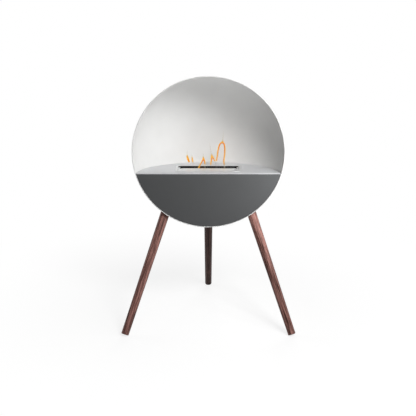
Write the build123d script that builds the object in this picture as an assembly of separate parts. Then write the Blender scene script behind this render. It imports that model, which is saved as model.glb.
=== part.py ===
from build123d import *
from collections import namedtuple
from math import asin, degrees, sqrt
import os

os.makedirs("parts", exist_ok=True)

# Sizes in millimetres. X runs to the right, Y back from the bowl's mouth, Z up from the floor.

# Bowl: half an ellipsoid lying on its side, with a hemmed edge round its mouth
mouth_radius = 300.0
bowl_depth = 230.0
bowl_wall = 2.0
hem_width = 5.0
hem_depth = 8.0
hem_round = 1.5
mouth_height = 700.0

# Deck: the flat hearth plate
deck_drop = 79.0
deck_wall = 2.0
deck_gap = 1.5
deck_front = 1.0
deck_edge_round = 0.6

# Front panel, flush with the deck's front edge
panel_wall = 2.0
panel_gap = 0.4
panel_flange = 16.0
panel_bend = 2.0
panel_edge_round = 0.5

# Spring clips on the panel's back, which snap behind the hem
clip_top_gap = 29.5
clip_low_spread = 16.0
clip_wall = 1.0
clip_width = 14.0
clip_length = 24.0
clip_bend = 8.0
clip_hook_start = 2.7
clip_hook_end = 1.2
rivet_radius = 1.6
rivet_head_radius = 3.0

# Burner: a stainless box that hangs in the deck by its flange
burner_width = 250.0
burner_depth = 98.0
burner_height = 62.0
burner_setback = 47.0
burner_corner = 14.0
burner_wall = 1.5
burner_flange = 8.0
burner_flange_wall = 1.2
burner_clearance = 1.5
lid_seat_drop = 2.0
lid_seat_wall = 1.2
slot_depth = 45.5
rail_width = 7.0
rail_height = 12.0

# Lid: a formed plate that slides back over the fire slot
lid_wall = 1.2
lid_depth = 48.0
lid_side_gap = 1.1
lid_running_gap = 0.1
lid_back_gap = 0.4
lid_rise = 2.9
lid_bead_depth = 28.0
lid_bead_end = 10.0
lid_bead_back = 4.0
lid_bead_corner = 9.0
lid_bead_slope = 2.0

# Fuel tray and its fibre filling
tray_gap = 2.0
tray_wall = 1.0
tray_height = 40.0
fibre_gap = 0.5
fibre_height = 36.0

# Well: the sheet tray under the deck, round the burner
well_gap = 6.0
well_wall = 1.5
well_depth = 72.0
well_flange = 15.0

# Deck fasteners and brackets
stud_radius = 2.5
stud_length = 14.0
stud_hole_radius = 2.9
nut_width = 8.0
nut_height = 4.7
nut_flange_radius = 5.6
nut_flange_height = 1.0
panel_stud_places = (-215.0, -70.0, 70.0, 215.0)
panel_stud_inset = 8.0
well_stud_place = 80.0
bracket_wall = 2.5
bracket_width = 50.0
bracket_reach = 44.0
bracket_gap = 8.0
bracket_drop = 48.0
side_bracket_place = 110.0

# Legs: turned and tapered, scribed to the bowl at the top
leg_top_radius = 18.8
leg_foot_radius = 15.0
front_foot_x = 332.5
front_foot_y = -159.5
front_top_x = 171.5
front_top_y = 40.0
rear_foot_y = 396.0
rear_top_y = 154.0
foot_round = 2.0
foot_trim = 1.2
pad_wall = 1.5
pad_inset = 1.0

# Leg fixings inside the bowl
bolt_radius = 5.0
bolt_in_leg = 60.0
bolt_gap = 0.05
bolt_hole_radius = 5.5
socket_radius = 14.0
socket_length = 48.0
socket_end = 4.0
doubler_radius = 30.0
doubler_wall = 2.5

# Welded and seated pieces stand this far apart
seat_gap = 0.1

# Places that follow from the sizes above
deck_top = mouth_height - deck_drop
deck_bottom = deck_top - deck_wall
hem_inner = mouth_radius - hem_width
clip_high = degrees(asin((deck_drop + deck_wall + clip_top_gap) / hem_inner))
clip_angles = (180 + clip_high, 270 - clip_low_spread, 270 + clip_low_spread, 360 - clip_high)
panel_back = deck_front + panel_wall
burner_middle = burner_setback + burner_depth / 2
burner_back = burner_setback + burner_depth
seat_top = deck_top - lid_seat_drop
slot_front = burner_back - burner_wall - slot_depth
well_reach = well_gap + well_wall + well_flange

# Lengths of shapes that only cut
cut_margin = 60.0
sheet_cut = 10.0
space = 4 * mouth_radius

Leg = namedtuple("Leg", "name frame length seat")


def block(x, y, z):
    """Box between two places on each axis."""
    size = [high - low for low, high in (x, y, z)]
    middle = [(low + high) / 2 for low, high in (x, y, z)]
    return Pos(*middle) * Box(*size)


def rounded(width, depth, corner, low, high, middle=burner_middle):
    """Upright prism with rounded corners, centred on the burner."""
    outline = RectangleRounded(width, depth, corner)
    return Pos(0, middle, low) * extrude(outline, high - low)


def bowl(inset):
    """Solid half ellipsoid that lies this far inside the bowl's outer face."""
    radius = mouth_radius - inset
    depth = bowl_depth - inset
    curve = EllipticalCenterArc((0, 0), radius, depth, 0, arc_size=90)
    profile = make_face(curve + Polyline((0, depth), (0, 0), (radius, 0)))
    return Pos(0, 0, mouth_height) * revolve(profile, Axis.Y)


def bowl_reach(drop, inset=bowl_wall):
    """Half width and depth of the bowl at this drop below the mouth's centre."""
    shrink = sqrt(1 - (drop / (mouth_radius - inset)) ** 2)
    return (mouth_radius - inset) * shrink, (bowl_depth - inset) * shrink


def leg_line(name, foot_x, foot_y, top_x, top_y):
    """A leg's length, and its frames on the bowl's outer face.

    One frame has Z down the leg, and the other has Z square to the bowl.
    """
    fall = sqrt(1 - (top_x / mouth_radius) ** 2 - (top_y / bowl_depth) ** 2)
    top = Vector(top_x, top_y, mouth_height - mouth_radius * fall)
    axis = (Vector(foot_x, foot_y, 0) - top).normalized()
    upright = -axis.Z
    lean = sqrt(1 - upright ** 2)
    end_height = (leg_foot_radius - foot_round) * lean + foot_round * (1 - upright) - foot_trim
    frame = Plane(origin=top, z_dir=axis).location
    square = Vector(top_x / mouth_radius ** 2, top_y / bowl_depth ** 2, -fall / mouth_radius)
    seat = Plane(origin=top, z_dir=square).location
    return Leg(name, frame, (top.Z - end_height) / upright, seat)


def rod(leg, radius, start, end):
    """Cylinder along a leg's axis."""
    middle = (start + end) / 2
    return leg.frame * Pos(0, 0, middle) * Cylinder(radius, end - start)


legs = [
    leg_line("front_left", -front_foot_x, front_foot_y, -front_top_x, front_top_y),
    leg_line("front_right", front_foot_x, front_foot_y, front_top_x, front_top_y),
    leg_line("rear", 0, rear_foot_y, 0, rear_top_y),
]


def dome_shell():
    """Spun bowl with its hem, and a bolt hole for each leg."""
    depth = bowl_depth - bowl_wall
    start = degrees(asin(hem_depth / depth))
    outer = EllipticalCenterArc((0, 0), mouth_radius, bowl_depth, 0, arc_size=90)
    inner = EllipticalCenterArc((0, 0), mouth_radius - bowl_wall, depth, start, arc_size=90 - start)
    hem = Polyline((mouth_radius, 0), (hem_inner, 0), (hem_inner, hem_depth), inner @ 0)
    profile = make_face(outer + inner + hem + Line(outer @ 1, inner @ 1))
    front = profile.vertices().filter_by(lambda corner: corner.Y < hem_depth / 2)
    profile = fillet(front, hem_round)
    shell = Pos(0, 0, mouth_height) * revolve(profile, Axis.Y)
    for leg in legs:
        shell -= rod(leg, bolt_hole_radius, -cut_margin, cut_margin)
    return shell


def rear_bracket_reach():
    """Length of the rear bracket, from the bowl to its gap behind the burner's well."""
    depth = bowl_reach(mouth_height - deck_bottom)[1]
    return depth - (burner_back + well_reach + bracket_gap)


def deck_stud_places():
    """Places of the deck's studs, with the wall that each one clamps."""
    half, depth = bowl_reach(mouth_height - deck_bottom)
    places = [(x, panel_back + panel_stud_inset, panel_wall) for x in panel_stud_places]
    stud_reach = burner_depth / 2 + well_reach - well_flange / 2
    for x in (-well_stud_place, well_stud_place):
        for y in (burner_middle - stud_reach, burner_middle + stud_reach):
            places.append((x, y, well_wall))
    side = half * sqrt(1 - (side_bracket_place / depth) ** 2) - bracket_reach / 2
    places += [(-side, side_bracket_place, bracket_wall), (side, side_bracket_place, bracket_wall)]
    places.append((0, depth - rear_bracket_reach() / 2, bracket_wall))
    return places


def deck_plate():
    """Flat hearth plate: a half ellipse with a straight front and the burner's cut-out."""
    half, depth = bowl_reach(mouth_height - deck_bottom)
    mouth_half = sqrt(hem_inner ** 2 - (mouth_height - deck_bottom) ** 2) - deck_gap / 2
    outline = Ellipse(half - deck_gap, depth - deck_gap)
    outline &= Pos(0, deck_front + space / 2) * Rectangle(2 * mouth_half, space)
    plate = Pos(0, 0, deck_bottom) * extrude(outline, deck_wall)
    front = plate.edges().filter_by(Axis.X).sort_by(Axis.Y)[:2].sort_by(Axis.Z)[-1]
    plate = fillet(front, deck_edge_round)
    width = burner_width + 2 * burner_clearance
    depth = burner_depth + 2 * burner_clearance
    corner = burner_corner + burner_clearance
    return plate - rounded(width, depth, corner, deck_bottom - sheet_cut, deck_top + sheet_cut)


def front_panel():
    """Segment of a disc below the deck, with a flange that the deck's front edge lies on."""
    radius = hem_inner - panel_gap
    low = mouth_height - mouth_radius
    back = panel_back + panel_flange
    corners = [
        (deck_front, low), (deck_front, deck_bottom), (back, deck_bottom),
        (back, deck_bottom - panel_wall), (panel_back, deck_bottom - panel_wall), (panel_back, low),
    ]
    section = make_face(Polyline(*corners, close=True))
    bend = section.vertices().sort_by_distance((deck_front, deck_bottom))[0]
    section = fillet(bend, panel_bend)
    strip = extrude(Plane.YZ * section, radius, both=True)
    disc = Pos(0, (deck_front + back) / 2, mouth_height) * Rot(90, 0, 0) * Cylinder(radius, back - deck_front)
    edge = disc.edges().filter_by(GeomType.CIRCLE).sort_by(Axis.Y)[0]
    panel = strip & fillet(edge, panel_edge_round)
    for x, y, wall in deck_stud_places():
        if y < back:
            panel -= Pos(x, y, deck_bottom) * Cylinder(stud_hole_radius, sheet_cut)
    return panel


def at_clip(angle):
    """Place of a clip: X runs out from the mouth's centre, Y back."""
    return Pos(0, 0, mouth_height) * Rot(0, -angle, 0)


def panel_clips():
    """Bent strips that lie on the panel's back and hook behind the hem."""
    flat = panel_back + clip_wall / 2
    hook = hem_depth + seat_gap + clip_wall / 2
    start = hem_inner - clip_length
    bends = (hem_inner - clip_bend, flat), (hem_inner - clip_hook_start, hook)
    line = Polyline((start, flat), *bends, (hem_inner + clip_hook_end, hook))
    strip = extrude(trace(line, clip_wall), clip_width / 2, both=True)
    hole = Pos(start + clip_bend, flat, 0) * Rot(90, 0, 0) * Cylinder(rivet_radius + seat_gap, sheet_cut)
    return [at_clip(angle) * (strip - hole) for angle in clip_angles]


def clip_rivets():
    """Rivets that hold the clips, welded to the panel's back."""
    place = hem_inner - clip_length + clip_bend
    neck = Pos(place, panel_back + clip_wall / 2, 0)
    neck *= Rot(90, 0, 0) * Cylinder(rivet_radius, clip_wall)
    head = Pos(place, panel_back + clip_wall * 3 / 2, 0)
    head *= Rot(90, 0, 0) * Cylinder(rivet_head_radius, clip_wall)
    return [at_clip(angle) * (neck + head) for angle in clip_angles]


def deck_studs():
    """Weld studs that hang from the deck."""
    middle = deck_bottom - stud_length / 2
    return [Pos(x, y, middle) * Cylinder(stud_radius, stud_length) for x, y, wall in deck_stud_places()]


def deck_nuts():
    """Flange nuts on the deck's studs."""
    nuts = []
    for x, y, wall in deck_stud_places():
        collar = Pos(0, 0, -nut_flange_height / 2) * Cylinder(nut_flange_radius, nut_flange_height)
        hexagon = extrude(RegularPolygon(nut_width / 2, 6, major_radius=False), -nut_height)
        nut = collar + hexagon - Cylinder(stud_radius + bolt_gap, cut_margin)
        nuts.append(Pos(x, y, deck_bottom - wall) * nut)
    return nuts


def bracket(x, y, turn, reach=bracket_reach):
    """Shelf and web under the deck, cut to the bowl; x and y are its stud's place."""
    half = bracket_width / 2
    shelf = block((-reach / 2, cut_margin), (-half, half), (-bracket_wall, 0))
    top = (-reach / 2, -bracket_wall), (cut_margin, -bracket_wall)
    outline = make_face(Polyline(*top, (cut_margin, -bracket_drop), (0, -bracket_drop), close=True))
    web = Rot(90, 0, 0) * extrude(outline, bracket_wall / 2, both=True)
    nut_room = (-cut_margin, nut_flange_radius + bracket_wall)
    web -= block(nut_room, (-half, half), (-stud_length, -bracket_wall))
    solid = shelf + web - Cylinder(stud_hole_radius, sheet_cut)
    placed = Pos(x, y, deck_bottom) * Rot(0, 0, turn) * solid
    return placed & bowl(bowl_wall + seat_gap)


def burner_well():
    """Sheet tray round the burner, with a flange under the deck."""
    width = burner_width + 2 * well_gap
    depth = burner_depth + 2 * well_gap
    corner = burner_corner + well_gap
    outer = (width + 2 * well_wall, depth + 2 * well_wall, corner + well_wall)
    rim = (outer[0] + 2 * well_flange, outer[1] + 2 * well_flange, corner + well_wall)
    floor = deck_bottom - well_depth
    well = rounded(*outer, floor - well_wall, deck_bottom)
    well += rounded(*rim, deck_bottom - well_wall, deck_bottom)
    well -= rounded(width, depth, corner, floor, deck_bottom + sheet_cut)
    for x, y, wall in deck_stud_places():
        if wall == well_wall and abs(x) == well_stud_place:
            well -= Pos(x, y, deck_bottom) * Cylinder(stud_hole_radius, sheet_cut)
    return well


def burner_inside(gap, low, high):
    """Prism that fills the burner box's inside, less a gap."""
    shrink = burner_wall + gap
    return rounded(burner_width - 2 * shrink, burner_depth - 2 * shrink, burner_corner - shrink, low, high)


def burner_box():
    """Outer box of the burner, with the flange that lies on the deck."""
    floor = deck_top - burner_height
    top = deck_top + burner_flange_wall
    box = rounded(burner_width, burner_depth, burner_corner, floor, top)
    width, depth, corner = (
        burner_width + 2 * burner_flange, burner_depth + 2 * burner_flange, burner_corner + burner_flange
    )
    flange = rounded(width, depth, corner, deck_top, top)
    flange = fillet(flange.faces().sort_by(Axis.Z)[-1].edges(), burner_flange_wall / 2)
    return box + flange - burner_inside(0, floor + burner_wall, top + sheet_cut)


def burner_front_plate():
    """Fixed plate in the front of the burner, under the open lid."""
    plate = burner_inside(seat_gap, seat_top - lid_seat_wall, seat_top)
    return plate & block((-space, space), (0, slot_front), (0, space))


def lid_rail(side):
    """Angle along one end of the fire slot, which carries the lid's end."""
    edge = burner_width / 2 - burner_wall - seat_gap
    back = burner_back - burner_corner
    front = slot_front + seat_gap
    ledge = block((edge - rail_width, edge), (front, back), (seat_top - lid_seat_wall, seat_top))
    wall = block((edge - lid_seat_wall, edge), (front, back), (seat_top - rail_height, seat_top))
    rail = ledge + wall
    return rail if side > 0 else mirror(rail, Plane.YZ)


def fuel_tray():
    """Inner reservoir, which stands on the burner box's floor."""
    floor = deck_top - burner_height + burner_wall
    tray = burner_inside(tray_gap, floor, floor + tray_height)
    return tray - burner_inside(tray_gap + tray_wall, floor + tray_wall, floor + tray_height + sheet_cut)


def fibre_block():
    """Fibre filling of the fuel tray."""
    floor = deck_top - burner_height + burner_wall + tray_wall
    return burner_inside(tray_gap + tray_wall + fibre_gap, floor, floor + fibre_height)


def lid():
    """Sliding lid: a flat plate with a raised, tapered bead along its back half."""
    low = seat_top + lid_running_gap
    width = burner_width - 2 * (burner_wall + lid_side_gap)
    corner = burner_corner - burner_wall - lid_side_gap
    back = slot_front - lid_back_gap
    plate = rounded(width, lid_depth, corner, low, low + lid_wall, back - lid_depth / 2)
    bead_width = width - 2 * lid_bead_end
    middle = back - lid_bead_back - lid_bead_depth / 2

    def bead(shrink, bottom, height):
        faces = []
        for rise, narrowing in ((0, 0), (height, lid_bead_slope)):
            inset = 2 * (shrink + narrowing)
            radius = lid_bead_corner - shrink - narrowing
            outline = RectangleRounded(bead_width - inset, lid_bead_depth - inset, radius)
            faces.append(Pos(0, middle, bottom + rise) * outline)
        return loft(faces)

    raised = bead(0, low + lid_wall, lid_rise)
    hollow = bead(lid_wall, low, lid_rise)
    return plate + raised - hollow


def leg(line):
    """Tapered leg: scribed to the bowl at the top, rounded and trimmed level at the foot."""
    taper = (leg_top_radius - leg_foot_radius) / line.length
    start_radius = leg_top_radius + taper * cut_margin
    length = line.length + cut_margin
    solid = Cone(start_radius, leg_foot_radius, length, align=(Align.CENTER, Align.CENTER, Align.MIN))
    end = solid.edges().filter_by(GeomType.CIRCLE).sort_by(Axis.Z)[-1]
    solid = line.frame * Pos(0, 0, -cut_margin) * fillet(end, foot_round)
    solid -= bowl(-pad_wall)
    solid -= block((-space, space), (-space, space), (-cut_margin, 0))
    return solid - rod(line, bolt_radius + bolt_gap, -cut_margin, bolt_in_leg + seat_gap)


def leg_pads():
    """Thin pads between the legs and the bowl."""
    layer = bowl(seat_gap - pad_wall) - bowl(-seat_gap)
    radius = leg_top_radius - pad_inset
    pads = []
    for line in legs:
        ring = rod(line, radius, -cut_margin, cut_margin) - rod(line, bolt_hole_radius, -space, space)
        pads.append(layer & ring)
    return pads


def leg_plate(line):
    """Round doubler plate inside the bowl, with a hole for a leg's socket."""
    layer = bowl(bowl_wall + seat_gap) - bowl(bowl_wall + seat_gap + doubler_wall)
    disc = line.seat * Cylinder(doubler_radius, cut_margin)
    return layer & (disc - rod(line, socket_radius + seat_gap, -space, space))


def leg_socket(line):
    """Threaded tube inside the bowl, which takes a leg's bolt."""
    tube = rod(line, socket_radius, -socket_length, cut_margin) & bowl(bowl_wall + seat_gap)
    return tube - rod(line, bolt_radius + bolt_gap, -space, space)


def leg_bolts():
    """Hanger bolts, half in the leg and half in the socket."""
    return [rod(line, bolt_radius, socket_end - socket_length, bolt_in_leg) for line in legs]


def brackets():
    """The three deck brackets, left, right and rear."""
    left, right, rear = deck_stud_places()[-3:]
    return {
        "deck_bracket_left": bracket(left[0], left[1], 180),
        "deck_bracket_right": bracket(right[0], right[1], 0),
        "deck_bracket_rear": bracket(rear[0], rear[1], 90, rear_bracket_reach()),
    }


pieces = {
    "dome_shell": dome_shell(),
    "front_panel": front_panel(),
    "panel_clips": panel_clips(),
    "clip_rivets": clip_rivets(),
    "deck_plate": deck_plate(),
    "deck_studs": deck_studs(),
    "deck_nuts": deck_nuts(),
    **brackets(),
    "burner_well": burner_well(),
    "burner_box": burner_box(),
    "burner_front_plate": burner_front_plate(),
    "lid_rail_left": lid_rail(-1),
    "lid_rail_right": lid_rail(1),
    "fuel_tray": fuel_tray(),
    "fibre_block": fibre_block(),
    "lid": lid(),
    "leg_pads": leg_pads(),
    "leg_bolts": leg_bolts(),
}
for line in legs:
    pieces["leg_" + line.name] = leg(line)
    pieces["leg_plate_" + line.name] = leg_plate(line)
    pieces["leg_socket_" + line.name] = leg_socket(line)

solids = {}
for name, piece in pieces.items():
    group = piece if isinstance(piece, list) else [piece]
    solids[name] = [solid for shape in group for solid in shape.solids()]

# The part's own origin is on the floor, in the middle of its outline seen from above
overall = Compound([solid for group in solids.values() for solid in group]).bounding_box()
to_origin = Pos(0, -(overall.min.Y + overall.max.Y) / 2, 0)

for name, group in solids.items():
    export_step(to_origin * Compound(group), f"parts/{name}.step")
print("mouth at y", round(to_origin.position.Y, 3), "overall", overall.size)
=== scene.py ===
"""The finishes, flames and studio of a bowl-shaped fireplace, built round its construction model."""

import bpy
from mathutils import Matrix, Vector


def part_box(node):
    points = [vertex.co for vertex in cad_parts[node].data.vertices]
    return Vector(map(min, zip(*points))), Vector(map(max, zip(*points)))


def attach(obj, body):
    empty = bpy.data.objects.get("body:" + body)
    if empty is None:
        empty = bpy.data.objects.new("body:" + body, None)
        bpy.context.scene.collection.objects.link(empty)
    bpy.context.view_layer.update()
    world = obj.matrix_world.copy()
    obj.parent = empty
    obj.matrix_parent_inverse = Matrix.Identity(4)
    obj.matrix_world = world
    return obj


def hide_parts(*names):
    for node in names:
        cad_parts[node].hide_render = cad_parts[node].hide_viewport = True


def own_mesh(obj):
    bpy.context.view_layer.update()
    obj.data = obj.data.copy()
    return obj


bl_info = {
    "name": "Bowl fireplace",
    "version": (1, 0, 0),
    "blender": (4, 5, 0),
    "location": "3D View > Sidebar > Fireplace",
    "description": "Builds the bowl, deck, burner, flames, legs and studio of a freestanding fireplace",
    "category": "Object",
}

from math import cos, pi, radians, sin, sqrt

import bmesh
import bpy
from bpy.props import FloatProperty, FloatVectorProperty, IntProperty, PointerProperty
from mathutils import Matrix, Vector, noise

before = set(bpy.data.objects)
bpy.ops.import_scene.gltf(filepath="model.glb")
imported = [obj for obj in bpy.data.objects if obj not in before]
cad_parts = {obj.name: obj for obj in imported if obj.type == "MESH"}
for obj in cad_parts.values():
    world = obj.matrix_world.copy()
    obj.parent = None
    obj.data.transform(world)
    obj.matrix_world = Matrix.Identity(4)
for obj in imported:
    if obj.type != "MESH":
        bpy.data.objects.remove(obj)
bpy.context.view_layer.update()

# Places in metres that the construction model gives. X runs right, Y back from the bowl's mouth, Z up.
shell_low, shell_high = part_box("dome_shell")
deck_low, deck_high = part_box("deck_plate")
panel_low, panel_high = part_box("front_panel")
burner_low, burner_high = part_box("burner_box")
lid_low, lid_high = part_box("lid")
fibre_low, fibre_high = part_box("fibre_block")
mouth = Vector((0, shell_low.y, (shell_low.z + shell_high.z) / 2))
mouth_radius = shell_high.x
bowl_depth = shell_high.y - shell_low.y
burner_middle = (burner_low + burner_high) / 2
# The burner's flange lies on the deck and is as thick as the burner's sheet
burner_sheet = burner_high.z - deck_high.z
MM = 0.001
# A corner that is this near to a plane lies in it
NEARLY = 0.01 * MM
WHITE = (1.0, 1.0, 1.0, 1.0)


def linear(code):
    """Linear RGBA of an sRGB hex colour."""
    parts = [int(code[start:start + 2], 16) / 255 for start in (1, 3, 5)]
    return tuple(c / 12.92 if c <= 0.04045 else ((c + 0.055) / 1.055) ** 2.4 for c in parts) + (1.0,)


def length(name, default, description):
    """A size in metres that a user can change."""
    return FloatProperty(
        name=name, description=description, default=default,
        min=0.0, precision=5, subtype="DISTANCE", unit="LENGTH",
    )


def steps(name, default, description):
    """A number of steps round a piece that a user can change."""
    return IntProperty(name=name, description=description, default=default, min=24, max=512)


def colour(name, default, description):
    """A colour that a user can change, given as an sRGB hex value."""
    return FloatVectorProperty(
        name=name, description=description, default=linear(default),
        size=4, min=0.0, max=1.0, subtype="COLOR",
    )


class FireplaceSizes(bpy.types.PropertyGroup):
    """Sizes of the sheet metal, burner, legs and flames."""

    bowl_wall: length("Bowl wall", 0.002, "Sheet thickness of the spun bowl")
    bowl_segments: steps("Bowl segments", 192, "Steps round the bowl's mouth")
    hem_width: length("Hem width", 0.0026, "Width of the flat edge round the bowl's mouth")
    hem_depth: length("Hem depth", 0.008, "How far the hem reaches back")
    hem_round: length("Hem rounding", 0.0008, "Radius of the hem's two front corners")
    sheet_round: length("Sheet edge rounding", 0.0006, "Rounding of cut sheet edges under the paint")
    sheet_segments: steps("Sheet segments", 256, "Steps round the deck's and panel's circles")
    deck_gap: length("Deck gap", 0.0015, "Gap between the deck and the bowl")
    panel_gap: length("Panel gap", 0.0004, "Gap from the hem to the panel and the deck's corners")
    panel_wall: length("Panel wall", 0.002, "Sheet thickness of the front panel")
    panel_bend: length("Panel bend", 0.002, "Outer radius of the fold at the panel's top edge")
    burner_flange: length("Burner flange", 0.008, "Width of the flange outside the box's wall")
    burner_wall: length("Burner wall", 0.0015, "Wall thickness of the construction model's box")
    burner_corner: length("Burner corner", 0.014, "Corner radius of the burner box")
    burner_bend: length("Burner bend", 0.001, "Radius of the folds between flange, walls and floor")
    burner_clearance: length("Burner clearance", 0.0015, "Gap between the burner box and the cut-out")
    lid_wall: length("Lid wall", 0.0012, "Sheet thickness of the sliding lid")
    lid_corner: length("Lid corner", 0.0114, "Corner radius of the lid")
    bead_depth: length("Bead depth", 0.028, "Front-to-back width of the lid's raised bead")
    bead_end: length("Bead end", 0.010, "Flat margin at each end of the bead")
    bead_back: length("Bead back", 0.004, "Flat margin behind the bead")
    bead_corner: length("Bead corner", 0.009, "Corner radius of the bead")
    bead_slope: length("Bead slope", 0.002, "How far the bead's sides lean in")
    bead_round: length("Bead rounding", 0.0012, "Radius of the folds along the bead")
    fibre_corner: length("Fibre corner", 0.009, "Corner radius of the fibre filling")
    fibre_cell: length("Fibre cell", 0.003, "Spacing of the points in the filling's uneven top")
    fibre_dips: length("Fibre dips", 0.0009, "Mean depth of the dips in the filling's top")
    fibre_dip_width: length("Fibre dip width", 0.007, "Width of the dips in the filling's top")
    leg_segments: steps("Leg segments", 72, "Steps round a leg")
    leg_top_radius: length("Leg top radius", 0.0188, "Radius of a leg where it meets the bowl")
    leg_foot_radius: length("Leg foot radius", 0.015, "Radius of a leg at its foot")
    leg_pad: length("Leg pad", 0.0015, "Thickness of the pad between a leg and the bowl")
    foot_round: length("Foot rounding", 0.002, "Rounding of a leg's lower edge")
    foot_trim: length("Foot trim", 0.0012, "How much is cut off level under a foot")
    front_foot_side: length("Front foot side", 0.3325, "Distance of a front foot from the middle")
    front_foot_ahead: length("Front foot ahead", 0.1595, "How far a front foot stands ahead of the mouth")
    front_top_side: length("Front leg top side", 0.1715, "Distance of a front leg's top from the middle")
    front_top_back: length("Front leg top back", 0.040, "How far a front leg's top lies behind the mouth")
    rear_foot_back: length("Rear foot back", 0.396, "How far the rear foot stands behind the mouth")
    rear_top_back: length("Rear leg top back", 0.154, "How far the rear leg's top lies behind the mouth")
    flame_segments: steps("Flame segments", 48, "Steps round a flame")


class FireplaceColours(bpy.types.PropertyGroup):
    """Colours of the finishes."""

    bowl: colour("Bowl paint", "#dfdfde", "Warm pale grey powder coat of the bowl")
    deck: colour("Deck paint", "#cbccce", "Cool light grey powder coat of the deck")
    panel: colour("Panel paint", "#545556", "Anthracite powder coat of the front panel")
    steel: colour("Stainless steel", "#e6e8ea", "Brushed stainless steel of the burner")
    soot: colour("Soot", "#0b0a0a", "Soot inside the burner")
    fibre: colour("Ceramic fibre", "#cfc6b6", "Unburnt ceramic fibre")
    zinc: colour("Zinc plating", "#b9bcc0", "Bright zinc plating of the fasteners")
    galvanised: colour("Galvanised sheet", "#a4a8ab", "Hot-dip galvanised sheet of the well")
    wood_light: colour("Wood, light grain", "#ab7c73", "Stained wood between its dark grain lines")
    wood_dark: colour("Wood, dark grain", "#37201b", "Stained wood in its dark grain lines")
    rubber: colour("Pad rubber", "#171717", "Black rubber of the leg pads")
    flame_yellow: colour("Flame, yellow", "#f2b443", "Outermost and weaker parts of a flame's rim")
    flame_orange: colour("Flame, orange", "#d4540c", "Hottest parts of a flame's rim")
    flame_pale: colour("Flame, pale", "#dcd4c2", "Tip of a flame")
    floor: colour("Floor", "#d2d2d2", "Matt floor of the studio")


class FireplaceStudio(bpy.types.PropertyGroup):
    """The camera, the light and the floor."""

    camera_distance: length("Camera distance", 2.7176, "From the camera to the mouth's plane")
    camera_height: length("Camera height", 1.2427, "Height of the camera over the floor")
    camera_side: FloatProperty(
        name="Camera side", description="Place of the camera across the mouth",
        default=-0.0016, unit="LENGTH",
    )
    camera_pitch: FloatProperty(
        name="Camera pitch", description="How far the camera looks down",
        default=radians(15.66), subtype="ANGLE",
    )
    camera_lens: FloatProperty(
        name="Lens", description="Focal length of the camera", default=61.2, min=1.0, unit="CAMERA"
    )
    camera_sensor: FloatProperty(
        name="Sensor", description="Width of the camera's sensor", default=36.0, min=1.0, unit="CAMERA"
    )
    daylight: FloatProperty(
        name="Room light", description="Level of the even light from all sides", default=0.03, min=0.0
    )
    floor_radius: length("Floor radius", 60.0, "Far enough out to look endless")


def add(tree, kind, inputs=(), **settings):
    """Adds a node with its settings; each input is a plain value or the output socket that feeds it."""
    node = tree.nodes.new(kind)
    for name, value in settings.items():
        setattr(node, name, value)
    for name, value in dict(inputs).items():
        if isinstance(value, bpy.types.NodeSocket):
            tree.links.new(value, node.inputs[name])
        else:
            node.inputs[name].default_value = value
    return node


def new_material(name):
    """An empty material and the node tree that its finish goes into."""
    material = bpy.data.materials.new(name)
    material.use_nodes = True
    material.node_tree.nodes.clear()
    return material, material.node_tree


def surface(tree, shader):
    """Connects a shader node to the material's output."""
    add(tree, "ShaderNodeOutputMaterial", {"Surface": shader.outputs[0]})


def grain(tree, place, size, detail=2.0, **inputs):
    """Noise whose blotches measure size metres across."""
    inputs = {"Vector": place, "Scale": 1 / size, "Detail": detail, **inputs}
    return add(tree, "ShaderNodeTexNoise", inputs).outputs["Fac"]


def spread(tree, value, low, high, start=0.3, end=0.7):
    """Maps a pattern's values from start to end onto low to high."""
    ends = {"Value": value, "From Min": start, "From Max": end, "To Min": low, "To Max": high}
    return add(tree, "ShaderNodeMapRange", ends).outputs["Result"]


def blend(tree, share, first, second):
    """Mixes two colours, which are plain values or sockets."""
    node = add(tree, "ShaderNodeMix", data_type="RGBA")
    colours = [socket for socket in node.inputs if socket.type == "RGBA"]
    for socket, value in ((node.inputs[0], share), (colours[0], first), (colours[1], second)):
        if isinstance(value, bpy.types.NodeSocket):
            tree.links.new(value, socket)
        else:
            socket.default_value = value
    return next(socket for socket in node.outputs if socket.type == "RGBA")


def darker(shade, share):
    """A plain colour with this share of its light left."""
    return (shade[0] * share, shade[1] * share, shade[2] * share, 1.0)


def powder_coat(name, shade, roughness, specular):
    """Baked satin powder coat: an orange-peel skin under 0.1 mm deep, faintly cloudy."""
    material, tree = new_material(name)
    place = add(tree, "ShaderNodeTexCoord").outputs["Object"]
    # The peel's real waves are about 1.5 mm apart, and they are drawn 3 mm apart so that they show
    peel = grain(tree, place, 3.0 * MM, 1.0)
    # Its uneven thickness takes up to 3% off the colour, over some 60 mm
    cloud = grain(tree, place, 60 * MM, 3.0)
    bump = add(tree, "ShaderNodeBump", {"Height": peel, "Strength": 0.06, "Distance": 0.1 * MM})
    shader = add(tree, "ShaderNodeBsdfPrincipled", {
        "Base Color": blend(tree, spread(tree, cloud, 0, 1), darker(shade, 0.97), shade),
        "Roughness": spread(tree, peel, roughness - 0.03, roughness + 0.03),
        "Specular IOR Level": specular,
        "Normal": bump.outputs["Normal"],
    })
    surface(tree, shader)
    return material


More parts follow.
